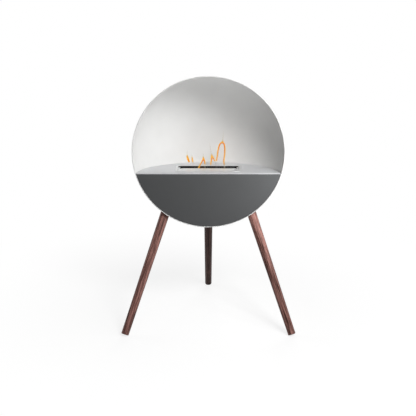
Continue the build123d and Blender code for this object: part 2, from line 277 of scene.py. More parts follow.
def brushed_stainless(name, shade):
    """Brushed stainless steel: fine scratches along the burner, and straw-coloured heat tint."""
    material, tree = new_material(name)
    place = add(tree, "ShaderNodeTexCoord").outputs["Object"]
    # Real brush lines lie about 0.1 mm apart, and they are drawn 0.6 mm apart so that they show.
    # They are 50 times as long.
    along = add(tree, "ShaderNodeMapping", {"Vector": place, "Scale": (0.02, 1.0, 1.0)}).outputs[0]
    scratches = grain(tree, along, 0.6 * MM, 3.0)
    smear = grain(tree, place, 25 * MM, 3.0)
    straw = linear("#a98f5f")
    tint = blend(tree, spread(tree, smear, 0, 0.12), shade, straw)
    bump = add(tree, "ShaderNodeBump", {"Height": scratches, "Strength": 0.1, "Distance": 0.05 * MM})
    shader = add(tree, "ShaderNodeBsdfPrincipled", {
        "Base Color": blend(tree, spread(tree, scratches, 0, 0.4), tint, darker(shade, 0.8)),
        "Metallic": 1.0,
        "Roughness": spread(tree, scratches, 0.28, 0.42),
        "Normal": bump.outputs["Normal"],
    })
    surface(tree, shader)
    return material


def sooted_steel(name, steel, soot):
    """The steel inside the burner after use: matt black soot, thinner in patches that show the steel."""
    material, tree = new_material(name)
    place = add(tree, "ShaderNodeTexCoord").outputs["Object"]
    patches = grain(tree, place, 9 * MM, 4.0)
    cover = spread(tree, patches, 1.0, 0.75, 0.55, 0.75)
    shader = add(tree, "ShaderNodeBsdfPrincipled", {
        "Base Color": blend(tree, cover, darker(steel, 0.5), soot),
        "Roughness": spread(tree, patches, 0.9, 0.65),
        "Specular IOR Level": 0.2,
    })
    surface(tree, shader)
    return material


def ceramic_fibre(name, shade, soot):
    """Pressed ceramic fibre: a matted surface, charred on top in large patches."""
    material, tree = new_material(name)
    place = add(tree, "ShaderNodeTexCoord").outputs["Object"]
    # Real fibres are finer than hair. Their tufts are drawn 1.5 mm wide, 6 mm long and askew.
    askew = {"Vector": place, "Rotation": (0, 0, 0.6), "Scale": (1.0, 0.25, 1.0)}
    strands = add(tree, "ShaderNodeMapping", askew).outputs[0]
    mat = grain(tree, strands, 1.5 * MM, 4.0)
    char = grain(tree, place, 30 * MM, 4.0)
    base = blend(tree, spread(tree, mat, 0, 1), darker(shade, 0.7), shade)
    bump = add(tree, "ShaderNodeBump", {"Height": mat, "Strength": 0.6, "Distance": 0.6 * MM})
    shader = add(tree, "ShaderNodeBsdfPrincipled", {
        "Base Color": blend(tree, spread(tree, char, 0.55, 0.95), base, soot),
        "Roughness": 0.95,
        "Specular IOR Level": 0.1,
        "Normal": bump.outputs["Normal"],
    })
    surface(tree, shader)
    return material


def zinc_plating(name, shade):
    """Bright zinc plate on pressed fasteners: silvery, with a faint blue and yellow cast."""
    material, tree = new_material(name)
    place = add(tree, "ShaderNodeTexCoord").outputs["Object"]
    # The cast comes from the uneven passivation over the zinc
    cast = grain(tree, place, 4 * MM, 2.0)
    tarnish = grain(tree, place, 1.2 * MM, 3.0)
    bluish = darker(linear("#aeb9c9"), 0.9)
    yellowish = linear("#c9c1a4")
    tint = blend(tree, spread(tree, cast, 0, 1), bluish, yellowish)
    shader = add(tree, "ShaderNodeBsdfPrincipled", {
        "Base Color": blend(tree, 0.4, shade, tint),
        "Metallic": 1.0,
        "Roughness": spread(tree, tarnish, 0.25, 0.45),
    })
    surface(tree, shader)
    return material


def galvanised_sheet(name, shade):
    """Hot-dip galvanised sheet: zinc crystals about 10 mm across, each of its own grey."""
    material, tree = new_material(name)
    place = add(tree, "ShaderNodeTexCoord").outputs["Object"]
    crystals = add(tree, "ShaderNodeTexVoronoi", {"Vector": place, "Scale": 1 / (10 * MM)})
    tone = add(tree, "ShaderNodeSeparateColor", {"Color": crystals.outputs["Color"]}).outputs[0]
    shader = add(tree, "ShaderNodeBsdfPrincipled", {
        "Base Color": blend(tree, tone, darker(shade, 0.75), shade),
        "Metallic": 1.0,
        "Roughness": spread(tree, tone, 0.35, 0.6, 0.0, 1.0),
    })
    surface(tree, shader)
    return material


def moulded_rubber(name, shade):
    """Moulded black rubber: matt, with a fine dusty grain."""
    material, tree = new_material(name)
    place = add(tree, "ShaderNodeTexCoord").outputs["Object"]
    dust = grain(tree, place, 1.0 * MM, 3.0)
    dusty = linear("#4a4846")
    bump = add(tree, "ShaderNodeBump", {"Height": dust, "Strength": 0.15, "Distance": 0.1 * MM})
    shader = add(tree, "ShaderNodeBsdfPrincipled", {
        "Base Color": blend(tree, spread(tree, dust, 0, 0.3), shade, dusty),
        "Roughness": spread(tree, dust, 0.7, 0.85),
        "Normal": bump.outputs["Normal"],
    })
    surface(tree, shader)
    return material


def stained_wood(name, light, dark):
    """Turned hardwood with a red-brown stain and a satin lacquer: dark pores and lines along the leg."""
    material, tree = new_material(name)
    # Each leg carries its own place along and across the grain, in metres
    place = add(tree, "ShaderNodeAttribute", attribute_name="grain_place").outputs["Vector"]
    # Growth bands about 5 mm wide hold lines of 1.6 mm, and both run 20 times as far along the leg
    stretched = add(tree, "ShaderNodeMapping", {"Vector": place, "Scale": (1.0, 1.0, 0.05)}).outputs[0]
    bands = grain(tree, stretched, 5 * MM, 4.0, Distortion=0.6)
    lines = grain(tree, stretched, 1.6 * MM, 3.0)
    # Real pores are 0.2 mm wide, and they are drawn 0.7 mm wide and about 9 mm long so that they show
    pores = add(tree, "ShaderNodeMapping", {"Vector": place, "Scale": (1.0, 1.0, 0.08)}).outputs[0]
    pore = grain(tree, pores, 0.7 * MM, 2.0)
    wide = blend(tree, spread(tree, bands, 0, 1, 0.35, 0.65), dark, light)
    fine = blend(tree, spread(tree, lines, 0, 0.5, 0.45, 0.7), wide, dark)
    shade = blend(tree, spread(tree, pore, 0, 0.7, 0.6, 0.75), fine, darker(dark, 0.5))
    bump = add(tree, "ShaderNodeBump", {"Height": pore, "Strength": 0.15, "Distance": 0.1 * MM})
    shader = add(tree, "ShaderNodeBsdfPrincipled", {
        "Base Color": shade,
        "Roughness": spread(tree, lines, 0.38, 0.5),
        "Specular IOR Level": 0.12,
        "Normal": bump.outputs["Normal"],
    })
    surface(tree, shader)
    return material


def burning_alcohol(name, yellow, orange, pale):
    """A small alcohol flame: clear inside, orange to yellow along its rim, pale and faint at its tip."""
    material, tree = new_material(name)
    # The mesh carries how strong the flame is at each corner, and how near to its rim the corner lies
    strength = add(tree, "ShaderNodeAttribute", attribute_name="flame_strength").outputs["Fac"]
    rim = add(tree, "ShaderNodeAttribute", attribute_name="flame_rim").outputs["Fac"]
    # The strongest places are orange, and the weaker ones and the outermost rim are yellow
    outer = add(tree, "ShaderNodeMath", {0: rim, 1: strength}, operation="SUBTRACT").outputs[0]
    hot = blend(tree, spread(tree, outer, 0, 1, -0.65, -0.15), orange, yellow)
    glow = blend(tree, spread(tree, strength, 0, 1, 0.25, 0.6), pale, hot)
    near_rim = spread(tree, rim, 0.03, 0.97, 0.12, 0.4)
    kept = add(tree, "ShaderNodeMath", {0: near_rim, 1: strength}, operation="MULTIPLY").outputs[0]
    shader = add(tree, "ShaderNodeBsdfPrincipled", {
        "Base Color": (0.0, 0.0, 0.0, 1.0),
        "Roughness": 1.0,
        "Specular IOR Level": 0.0,
        "Emission Color": glow,
        "Emission Strength": 1.0,
        "Alpha": kept,
    })
    surface(tree, shader)
    return material


def corners_in(made):
    """The vertices among the geometry that an operator made."""
    return [part for part in made["geom"] if isinstance(part, bmesh.types.BMVert)]


def level_face(bm, width, depth, corner, centre):
    """Adds a level face with rounded corners, and returns it."""
    before = set(bm.faces)
    made = bmesh.ops.create_grid(bm, x_segments=1, y_segments=1, size=0.5)
    bmesh.ops.scale(bm, vec=(width, depth, 1), verts=made["verts"])
    bmesh.ops.translate(bm, vec=centre, verts=made["verts"])
    bmesh.ops.bevel(
        bm, geom=made["verts"], offset=corner, segments=8, profile=0.5, affect="VERTICES", material=-1
    )
    return next(face for face in bm.faces if face not in before)


def round_off(bm, edges, radius, segments):
    """Rounds these edges, as far as the edges beside them leave room."""
    bmesh.ops.bevel(
        bm, geom=edges, offset=radius, segments=segments, profile=0.5,
        affect="EDGES", material=-1, clamp_overlap=True,
    )


def round_edges(bm, radius, segments, wanted=lambda edge: True):
    """Rounds every edge sharper than 60 degrees that wanted(edge) picks."""
    bmesh.ops.recalc_face_normals(bm, faces=bm.faces)
    sharp = [edge for edge in bm.edges if edge.calc_face_angle(0) > radians(60) and wanted(edge)]
    round_off(bm, sharp, radius, segments)


def middle_of(edge):
    """The middle of an edge."""
    return (edge.verts[0].co + edge.verts[1].co) / 2


def ring_face(bm, outer, inner):
    """Replaces two faces that lie one inside the other by a face with a hole."""
    edges = list(outer.edges) + list(inner.edges)
    bmesh.ops.delete(bm, geom=[outer, inner], context="FACES_ONLY")
    bmesh.ops.triangle_fill(bm, use_beauty=True, use_dissolve=False, edges=edges)


def thicken(bm, shift):
    """Gives a flat sheet its thickness along shift."""
    made = bmesh.ops.extrude_face_region(bm, geom=list(bm.faces), use_keep_orig=True)
    bmesh.ops.translate(bm, vec=shift, verts=corners_in(made))
    bmesh.ops.recalc_face_normals(bm, faces=bm.faces)


def cut(bm, place, direction, clear_outer=True):
    """Cuts along a plane, and clears what lies past it, on the side that direction points to."""
    everything = list(bm.verts) + list(bm.edges) + list(bm.faces)
    bmesh.ops.bisect_plane(
        bm, geom=everything, plane_co=place, plane_no=direction, clear_outer=clear_outer
    )


def make_piece(name, bm, body, materials, crease=35.0):
    """Makes a mesh an object that rides on a body, shaded smooth except at edges past crease degrees."""
    for face in bm.faces:
        face.smooth = True
    for edge in bm.edges:
        edge.smooth = edge.calc_face_angle(pi) < radians(crease)
    mesh = bpy.data.meshes.new(name)
    bm.to_mesh(mesh)
    bm.free()
    for material in materials:
        mesh.materials.append(material)
    piece = bpy.data.objects.new(name, mesh)
    bpy.context.scene.collection.objects.link(piece)
    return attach(piece, body)


def bowl_reach(drop, inset):
    """Half width and depth of the bowl at a drop below the mouth's centre, inset from its outer face."""
    shrink = sqrt(1 - (drop / (mouth_radius - inset)) ** 2)
    return (mouth_radius - inset) * shrink, (bowl_depth - inset) * shrink


def bowl_arc(inset, first, last, count):
    """Points across and back along the bowl's profile, between two angles from its axis."""
    angles = (first + (last - first) * number / count for number in range(count + 1))
    return [((mouth_radius - inset) * sin(angle), (bowl_depth - inset) * cos(angle)) for angle in angles]


def bowl_mesh(sizes):
    """The spun bowl: the half profile of its two faces and hem, spun round the mouth's axis."""
    bm = bmesh.new()
    quarter = sizes.bowl_segments // 4
    hem_side = mouth_radius - sizes.hem_width
    # The inner face starts at the back of the hem
    hem_angle = pi / 2 - sizes.hem_depth / (bowl_depth - sizes.bowl_wall)
    outline = bowl_arc(0.0, 0.0, pi / 2, quarter)
    outline += [(hem_side, 0.0), (hem_side, sizes.hem_depth)]
    outline += bowl_arc(sizes.bowl_wall, hem_angle, 0.0, quarter)
    corners = [bm.verts.new(mouth + Vector((across, back, 0))) for across, back in outline]
    edges = [bm.edges.new(pair) for pair in zip(corners, corners[1:])]
    bmesh.ops.spin(
        bm, geom=corners + edges, cent=mouth, axis=(0, 1, 0), angle=2 * pi,
        steps=sizes.bowl_segments, use_merge=True,
    )
    bmesh.ops.remove_doubles(bm, verts=bm.verts, dist=0.001 * MM)
    bmesh.ops.recalc_face_normals(bm, faces=bm.faces)
    round_edges(bm, sizes.hem_round, 4, lambda e: middle_of(e).y < mouth.y + sizes.hem_depth / 2)
    return bm


def deck_mesh(sizes):
    """The hearth plate: a half ellipse with a straight front and a cut-out for the burner."""
    bm = bmesh.new()
    drop = mouth.z - deck_low.z
    half, reach = bowl_reach(drop, sizes.bowl_wall)
    bmesh.ops.create_circle(bm, cap_ends=True, radius=1, segments=sizes.sheet_segments)
    bmesh.ops.scale(bm, vec=(half - sizes.deck_gap, reach - sizes.deck_gap, 1), verts=bm.verts)
    bmesh.ops.translate(bm, vec=(0, mouth.y, deck_high.z), verts=bm.verts)
    cut(bm, deck_low, (0, -1, 0))
    # Its two front corners end beside the hem
    inside_hem = sqrt((mouth_radius - sizes.hem_width) ** 2 - drop ** 2) - sizes.panel_gap
    for side in (-1, 1):
        cut(bm, (side * inside_hem, 0, 0), (side, 0, 0))
    plate = next(iter(bm.faces))
    burner = burner_high - burner_low
    overlap = 2 * (sizes.burner_flange - sizes.burner_clearance)
    centre = Vector((burner_middle.x, burner_middle.y, deck_high.z))
    corner = sizes.burner_corner + sizes.burner_clearance
    hole = level_face(bm, burner.x - overlap, burner.y - overlap, corner, centre)
    ring_face(bm, plate, hole)
    thicken(bm, (0, 0, deck_low.z - deck_high.z))
    round_edges(bm, sizes.sheet_round, 3, lambda e: middle_of(e).z > deck_high.z - NEARLY)
    return bm


def panel_mesh(sizes):
    """The front panel: a segment of a disc, with its top edge folded back under the deck."""
    bm = bmesh.new()
    radius = mouth_radius - sizes.hem_width - sizes.panel_gap
    bmesh.ops.create_circle(bm, cap_ends=True, radius=radius, segments=sizes.sheet_segments)
    bmesh.ops.rotate(bm, cent=(0, 0, 0), matrix=Matrix.Rotation(pi / 2, 3, "X"), verts=bm.verts)
    bmesh.ops.translate(bm, vec=(0, panel_low.y, mouth.z), verts=bm.verts)
    cut(bm, panel_high, (0, 0, 1))
    top = [e for e in bm.edges if all(abs(v.co.z - panel_high.z) < NEARLY for v in e.verts)]
    fold = bmesh.ops.extrude_edge_only(bm, edges=top)
    bmesh.ops.translate(bm, vec=(0, panel_high.y - panel_low.y, 0), verts=corners_in(fold))
    bmesh.ops.bevel(
        bm, geom=top, offset=sizes.panel_bend, segments=5, profile=0.5, affect="EDGES", material=-1
    )
    bmesh.ops.recalc_face_normals(bm, faces=bm.faces)
    front = min(bm.faces, key=lambda f: f.calc_center_median().y)
    if front.normal.y > 0:
        bmesh.ops.reverse_faces(bm, faces=bm.faces)
    bmesh.ops.solidify(bm, geom=list(bm.faces), thickness=sizes.panel_wall)
    round_edges(bm, sizes.sheet_round, 3, lambda e: middle_of(e).y < panel_low.y + NEARLY)
    return bm


def burner_mesh(sizes):
    """The burner box: a flange, four walls and a floor, folded from one sheet."""
    bm = bmesh.new()
    size = burner_high - burner_low
    top = Vector((burner_middle.x, burner_middle.y, burner_high.z))
    rim = level_face(bm, size.x, size.y, sizes.burner_corner + sizes.burner_flange, top)
    inset = sizes.burner_flange + sizes.burner_wall
    bmesh.ops.inset_region(bm, faces=[rim], thickness=inset, use_even_offset=True, use_boundary=True)
    floor = bmesh.ops.extrude_face_region(bm, geom=[rim])
    bmesh.ops.delete(bm, geom=[rim], context="FACES_ONLY")
    bmesh.ops.translate(bm, vec=(0, 0, burner_sheet - size.z), verts=corners_in(floor))
    round_edges(bm, sizes.burner_bend, 3)
    bmesh.ops.recalc_face_normals(bm, faces=bm.faces)
    flange = max(bm.faces, key=lambda f: f.calc_center_median().z)
    if flange.normal.z < 0:
        bmesh.ops.reverse_faces(bm, faces=bm.faces)
    # One sheet makes the flange and the walls, so these are thinner than the construction model's
    bmesh.ops.solidify(bm, geom=list(bm.faces), thickness=burner_sheet)
    round_edges(bm, burner_sheet / 3, 2, lambda e: middle_of(e).z > deck_high.z - NEARLY)
    # Soot lies on the faces that look into the box, below the flange's top
    soot_line = top.z - 0.8 * MM
    for face in bm.faces:
        centre = face.calc_center_median()
        looks_in = face.normal.dot(top - centre) > 0
        face.material_index = 1 if looks_in and centre.z < soot_line else 0
    return bm


def lid_mesh(sizes):
    """The sliding lid: a flat plate with a raised bead pressed into it."""
    bm = bmesh.new()
    size = lid_high - lid_low
    middle = (lid_low + lid_high) / 2
    flat = lid_low.z + sizes.lid_wall
    plate = level_face(bm, size.x, size.y, sizes.lid_corner, Vector((middle.x, middle.y, flat)))
    width = size.x - 2 * sizes.bead_end
    bead_middle = lid_high.y - sizes.bead_back - sizes.bead_depth / 2
    low = Vector((middle.x, bead_middle, flat))
    foot = level_face(bm, width, sizes.bead_depth, sizes.bead_corner, low)
    low_edges = list(foot.edges)
    ring_face(bm, plate, foot)
    lean = 2 * sizes.bead_slope
    crown = level_face(
        bm, width - lean, sizes.bead_depth - lean, sizes.bead_corner - sizes.bead_slope,
        Vector((middle.x, bead_middle, lid_high.z)),
    )
    bmesh.ops.bridge_loops(bm, edges=low_edges + list(crown.edges))
    bmesh.ops.recalc_face_normals(bm, faces=bm.faces)
    if crown.normal.z < 0:
        bmesh.ops.reverse_faces(bm, faces=bm.faces)
    # The press folds the sheet at the level edges round the bead's foot and crown
    folds = [
        edge for edge in bm.edges
        if edge.calc_face_angle(0) > radians(20) and abs(edge.verts[0].co.z - edge.verts[1].co.z) < NEARLY
    ]
    round_off(bm, folds, sizes.bead_round, 4)
    bmesh.ops.solidify(bm, geom=list(bm.faces), thickness=sizes.lid_wall)
    round_edges(bm, sizes.lid_wall / 3, 2)
    return bm


def fibre_mesh(sizes):
    """The fibre filling: a rounded block with an uneven, matted top."""
    bm = bmesh.new()
    size = fibre_high - fibre_low
    middle = (fibre_low + fibre_high) / 2
    level_face(bm, size.x, size.y, sizes.fibre_corner, Vector((middle.x, middle.y, fibre_high.z)))
    for direction, width in ((Vector((1, 0, 0)), size.x), (Vector((0, 1, 0)), size.y)):
        cells = round(width / sizes.fibre_cell)
        for cell in range(1, cells):
            place = middle + direction * width * (cell / cells - 0.5)
            cut(bm, place, direction, clear_outer=False)
    thicken(bm, (0, 0, -size.z))
    for corner in bm.verts:
        if corner.co.z > fibre_high.z - NEARLY:
            corner.co.z -= sizes.fibre_dips * (1 + noise.noise(corner.co / sizes.fibre_dip_width))
    return bm


def leg_mesh(sizes, foot_side, foot_back, top_side, top_back, shift):
    """A turned leg: tapered, scribed to the bowl at its top, rounded and trimmed level at its foot.

    Its axis runs from the bowl's outer face to the floor, between places measured from the mouth.
    shift moves it in the grain, so that no two legs look alike.
    """
    fall = sqrt(1 - (top_side / mouth_radius) ** 2 - (top_back / bowl_depth) ** 2)
    top = mouth + Vector((top_side, top_back, -mouth_radius * fall))
    foot = Vector((foot_side, mouth.y + foot_back, 0))
    axis = (foot - top).normalized()
    upright = -axis.z
    lean = sqrt(1 - upright ** 2)
    # The axis ends at this height, so that the rounded edge reaches foot_trim below the floor
    edge_middle = (sizes.leg_foot_radius - sizes.foot_round) * lean
    end = edge_middle + sizes.foot_round * (1 - upright) - sizes.foot_trim
    reach = (top.z - end) / upright
    # The cone is this much too long at its top, which is then scribed back to the bowl
    spare = 30 * MM
    bm = bmesh.new()
    bmesh.ops.create_cone(
        bm, cap_ends=True, segments=sizes.leg_segments, depth=reach + spare,
        radius1=sizes.leg_top_radius, radius2=sizes.leg_foot_radius,
    )
    bmesh.ops.translate(bm, vec=(0, 0, (reach - spare) / 2), verts=bm.verts)
    cap = min(bm.faces, key=lambda f: f.calc_center_median().z)
    round_edges(bm, sizes.foot_round, 5, lambda e: middle_of(e).z > reach / 2)
    # Rings across the top's face let it take the bowl's curve
    rings = 5
    for ring in range(rings):
        step = sizes.leg_top_radius / (rings + 1)
        bmesh.ops.inset_region(bm, faces=[cap], thickness=step, use_even_offset=True)
    to_leg = Matrix.Translation(top) @ axis.to_track_quat("Z", "Y").to_matrix().to_4x4()
    bmesh.ops.transform(bm, matrix=to_leg, verts=bm.verts)
    # The top ends on an ellipsoid a pad outside the bowl, with these half axes. Divided by them it is a
    # ball of radius 1, and each corner of the top slides along the leg onto it.
    half_axes = Vector((mouth_radius, bowl_depth, mouth_radius)) + Vector((1, 1, 1)) * sizes.leg_pad
    unit_axis = Vector(a / s for a, s in zip(axis, half_axes))
    for corner in bm.verts:
        if (corner.co - top).dot(axis) < -spare / 2:
            place = Vector(p / s for p, s in zip(corner.co - mouth, half_axes))
            half = place.dot(unit_axis) / unit_axis.length_squared
            rest = (place.length_squared - 1) / unit_axis.length_squared
            corner.co += axis * (sqrt(half ** 2 - rest) - half)
    cut(bm, (0, 0, 0), (0, 0, -1))
    bmesh.ops.holes_fill(bm, edges=[edge for edge in bm.edges if edge.is_boundary], sides=0)
    bmesh.ops.recalc_face_normals(bm, faces=bm.faces)
    layer = bm.verts.layers.float_vector.new("grain_place")
    from_leg = to_leg.inverted()
    for corner in bm.verts:
        corner[layer] = from_leg @ corner.co + Vector(shift)
    return bm


# Each row is a flame's left side, right side and height over the deck in millimetres, and its strength.
# Where a row has two strengths, they are those of its left side and its right side.
flame_outlines = {
    "flame_left": (
        (-78, -71, -12, 0), (-79, -73, 8, 0), (-81.6, -74.5, 17, 0), (-84.6, -75, 24, 0.9),
        (-87.4, -77.2, 31, 1), (-89.4, -80, 38, 1), (-90, -82.4, 45, 0.7), (-89.4, -83.6, 52, 0.3),
        (-88, -84.4, 63, 0.2), (-86.2, -84.8, 78, 0),
    ),
    "flame_small": (
        (-66, -59, -12, 0), (-66, -60, 8, 0), (-66.6, -60.2, 16, 0.1), (-67.6, -61.2, 24, 0.8),
        (-69, -62.6, 33, 0.8), (-69.2, -64.2, 41, 0.5), (-68.6, -65.4, 47, 0.25), (-68, -66.4, 56, 0),
    ),
    "flame_middle": (
        (-46, -8, -12, 0.4, 0), (-43, -9, -4, 0.8, 0), (-39.4, -10, 5, 0.75, 0),
        (-34.8, -11, 14, 0.8, 0.5), (-29.8, -12, 23, 0.9, 0.85), (-26.6, -14, 30, 1),
        (-25, -16, 35, 1), (-24, -17.6, 39, 0.7), (-23, -18.8, 45, 0.3), (-22, -19.8, 54, 0.15),
        (-21, -20.2, 64, 0),
    ),
    "flame_right_low": (
        (4, 38, -12, 0), (5.6, 36, 4, 0), (6.8, 34, 12, 0.7, 0), (8, 31, 22, 0.85, 0),
        (9, 28, 28, 0.85, 0.8), (9.8, 24, 37, 0.9), (10.4, 20, 44, 0.95), (10.6, 17, 50, 0.6),
        (9.6, 14, 57, 0.25), (7, 10.5, 74, 0.2), (4, 6.4, 98, 0.1), (2.4, 3.4, 106, 0),
    ),
    "flame_right_tall": (
        (22, 70, -12, 0), (24.4, 69, 4, 0, 0.2), (26.4, 67, 14, 0, 0.6), (28, 66.2, 22, 0, 0.7),
        (29.6, 66.6, 28, 0.7, 0.7), (32.4, 68, 42, 0.72), (34, 69.4, 54, 0.74), (35.6, 70, 66, 0.78),
        (37.4, 70.2, 77, 0.84), (39.4, 69.4, 86, 0.92), (41.4, 68.2, 92, 1), (43.6, 66.8, 96.5, 1),
        (46, 65, 99.8, 1), (48.6, 63.2, 102.4, 0.9), (51.6, 61.8, 104.8, 0.8), (54.2, 60.8, 108, 0.45),
        (56.4, 60.6, 114, 0.3), (58.4, 61.2, 130, 0.22), (59.4, 61.2, 145, 0.12), (59.8, 60.6, 154, 0),
    ),
}


def flame_mesh(sizes, rows, back):
    """A flame of oval rings, one for each row, about the plane Y = back."""
    # In millimetres: the glowing rim's width, the most that a ring reaches to the front or back, how
    # far the rings sway, and the height over which the sway turns by one radian
    rim_width, most_thick, most_sway, sway_pace = 8.0, 4.0, 2.0, 17.0
    # The rim runs over the highest ring that is stronger than this
    bright = 0.75
    bm = bmesh.new()
    rim = bm.verts.layers.float.new("flame_rim")
    strength = bm.verts.layers.float.new("flame_strength")
    ring = bmesh.ops.create_circle(bm, cap_ends=True, radius=1, segments=sizes.flame_segments)["verts"]
    turns = [corner.co.copy() for corner in ring]
    edges = list(bm.edges)
    crown = max(height for _, _, height, *glow in rows if min(glow) > bright)
    for number, (left, right, height, *glow) in enumerate(rows):
        if number:
            grown = bmesh.ops.extrude_edge_only(bm, edges=edges)
            ring = corners_in(grown)
            edges = [part for part in grown["geom"] if isinstance(part, bmesh.types.BMEdge)]
        half = (right - left) / 2
        thick = min(half / 2, most_thick)
        sway = most_sway * sin(height / sway_pace)
        for corner, turn in zip(ring, turns):
            corner.co = Vector((
                ((left + right) / 2 + half * turn.x) * MM,
                back + (sway + thick * turn.y) * MM,
                deck_high.z + height * MM,
            ))
            inwards = min(half * (1 - abs(turn.x)), abs(crown - height))
            corner[rim] = max(0.0, 1 - inwards / rim_width)
            corner[strength] = glow[0] + (glow[-1] - glow[0]) * (turn.x + 1) / 2
    bmesh.ops.contextual_create(bm, geom=edges)
    bmesh.ops.recalc_face_normals(bm, faces=bm.faces)
    return bm


def seen_directly(tree):
    """1 for a ray from the camera, off a shiny surface or through glass, and 0 for other light."""
    rays = add(tree, "ShaderNodeLightPath").outputs
    seen = rays["Is Camera Ray"]
    for kind in ("Is Glossy Ray", "Is Transmission Ray"):
        seen = add(tree, "ShaderNodeMath", {0: seen, 1: rays[kind]}, operation="MAXIMUM").outputs[0]
    return seen


def studio_floor(name, shade):
    """A matt floor that the camera, metal and glass see as white, with a soft shadow near the object."""
    material, tree = new_material(name)
    seen = seen_directly(tree)
    place = add(tree, "ShaderNodeTexCoord").outputs["Object"]
    away = add(tree, "ShaderNodeVectorMath", {0: place}, operation="LENGTH").outputs["Value"]
    # Up to near, in metres from the middle, 38% of the matt floor and its shadow shows through a
    # brighter white. Past far, all is plain white.
    near, far = 0.45, 1.4
    glow = spread(tree, away, 1.27, 1.0, near, far)
    shown = spread(tree, away, 0.62, 1.0, near, far)
    share = add(tree, "ShaderNodeMath", {0: seen, 1: shown}, operation="MULTIPLY").outputs[0]
    matt = add(tree, "ShaderNodeBsdfDiffuse", {"Color": shade})
    white = add(tree, "ShaderNodeEmission", {"Color": WHITE, "Strength": glow})
    surface(tree, add(tree, "ShaderNodeMixShader", {0: share, 1: matt.outputs[0], 2: white.outputs[0]}))
    return material


def studio_background(name, level):
    """Even light from all sides at this level, which the camera, metal and glass see as plain white."""
    world = bpy.data.worlds.new(name)
    world.use_nodes = True
    tree = world.node_tree
    tree.nodes.clear()
    seen = seen_directly(tree)
    room = add(tree, "ShaderNodeBackground", {"Color": WHITE, "Strength": level})
    white = add(tree, "ShaderNodeBackground", {"Color": WHITE, "Strength": 1.0})
    mixed = add(tree, "ShaderNodeMixShader", {0: seen, 1: room.outputs[0], 2: white.outputs[0]})
    add(tree, "ShaderNodeOutputWorld", {"Surface": mixed.outputs[0]})
    return world


def soft_lamp(name, place, width, power):
    """A plain white square lamp that faces the middle of the mouth."""
    lamp = bpy.data.lights.new(name, "AREA")
    lamp.shape = "SQUARE"
    lamp.size = width
    lamp.energy = power
    stand = bpy.data.objects.new(name, lamp)
    stand.location = place
    stand.rotation_euler = (mouth - Vector(place)).to_track_quat("-Z", "Y").to_euler()
    stand.visible_camera = False
    bpy.context.scene.collection.objects.link(stand)


def dress(material, *names):
    """Gives nodes of the construction model their finish."""
    for name in names:
        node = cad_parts[name]
        node.data.materials.clear()
        node.data.materials.append(material)


class FIREPLACE_OT_bowl(bpy.types.Operator):
    """Build the spun bowl with its hemmed mouth"""

    bl_idname = "fireplace.bowl"
    bl_label = "Bowl"

    def execute(self, context):
        scene = context.scene
        paint = powder_coat("Bowl_powder_coat", tuple(scene.fireplace_colours.bowl), 0.5, 0.3)
        bowl = make_piece("bowl", bowl_mesh(scene.fireplace_sizes), "stand", [paint])
        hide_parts("dome_shell")
        return {"FINISHED"}


class FIREPLACE_OT_deck(bpy.types.Operator):
    """Build the hearth plate with its cut-out for the burner"""

    bl_idname = "fireplace.deck"
    bl_label = "Deck"

    def execute(self, context):
        scene = context.scene
        paint = powder_coat("Deck_powder_coat", tuple(scene.fireplace_colours.deck), 0.5, 0.4)
        deck = make_piece("deck", deck_mesh(scene.fireplace_sizes), "stand", [paint])
        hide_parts("deck_plate")
        return {"FINISHED"}


class FIREPLACE_OT_panel(bpy.types.Operator):
    """Build the front panel with its folded top edge"""

    bl_idname = "fireplace.panel"
    bl_label = "Front panel"

    def execute(self, context):
        scene = context.scene
        paint = powder_coat("Panel_powder_coat", tuple(scene.fireplace_colours.panel), 0.5, 0.12)
        panel = make_piece("panel", panel_mesh(scene.fireplace_sizes), "stand", [paint])
        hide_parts("front_panel")
        return {"FINISHED"}


class FIREPLACE_OT_burner(bpy.types.Operator):
    """Build the burner box and its fibre filling, and finish its plate, rails and tray"""

    bl_idname = "fireplace.burner"
    bl_label = "Burner"

    def execute(self, context):
        scene = context.scene
        sizes, colours = scene.fireplace_sizes, scene.fireplace_colours
        steel = brushed_stainless("Brushed_stainless_steel", tuple(colours.steel))
        soot = sooted_steel("Sooted_stainless_steel", tuple(colours.steel), tuple(colours.soot))
        box = make_piece("burner", burner_mesh(sizes), "burner", [steel, soot])
        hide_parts("burner_box")
        fibre = ceramic_fibre("Pressed_ceramic_fibre", tuple(colours.fibre), tuple(colours.soot))
        filling = make_piece("fibre_filling", fibre_mesh(sizes), "burner", [fibre])
        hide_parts("fibre_block")
        dress(steel, "burner_front_plate", "lid_rail_left", "lid_rail_right")
        dress(soot, "fuel_tray")
        return {"FINISHED"}


class FIREPLACE_OT_lid(bpy.types.Operator):
    """Build the sliding lid with its pressed bead"""

    bl_idname = "fireplace.lid"
    bl_label = "Sliding lid"

    def execute(self, context):
        steel = bpy.data.materials["Brushed_stainless_steel"]
        lid = make_piece("sliding_lid", lid_mesh(context.scene.fireplace_sizes), "lid", [steel])
        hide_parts("lid")
        return {"FINISHED"}


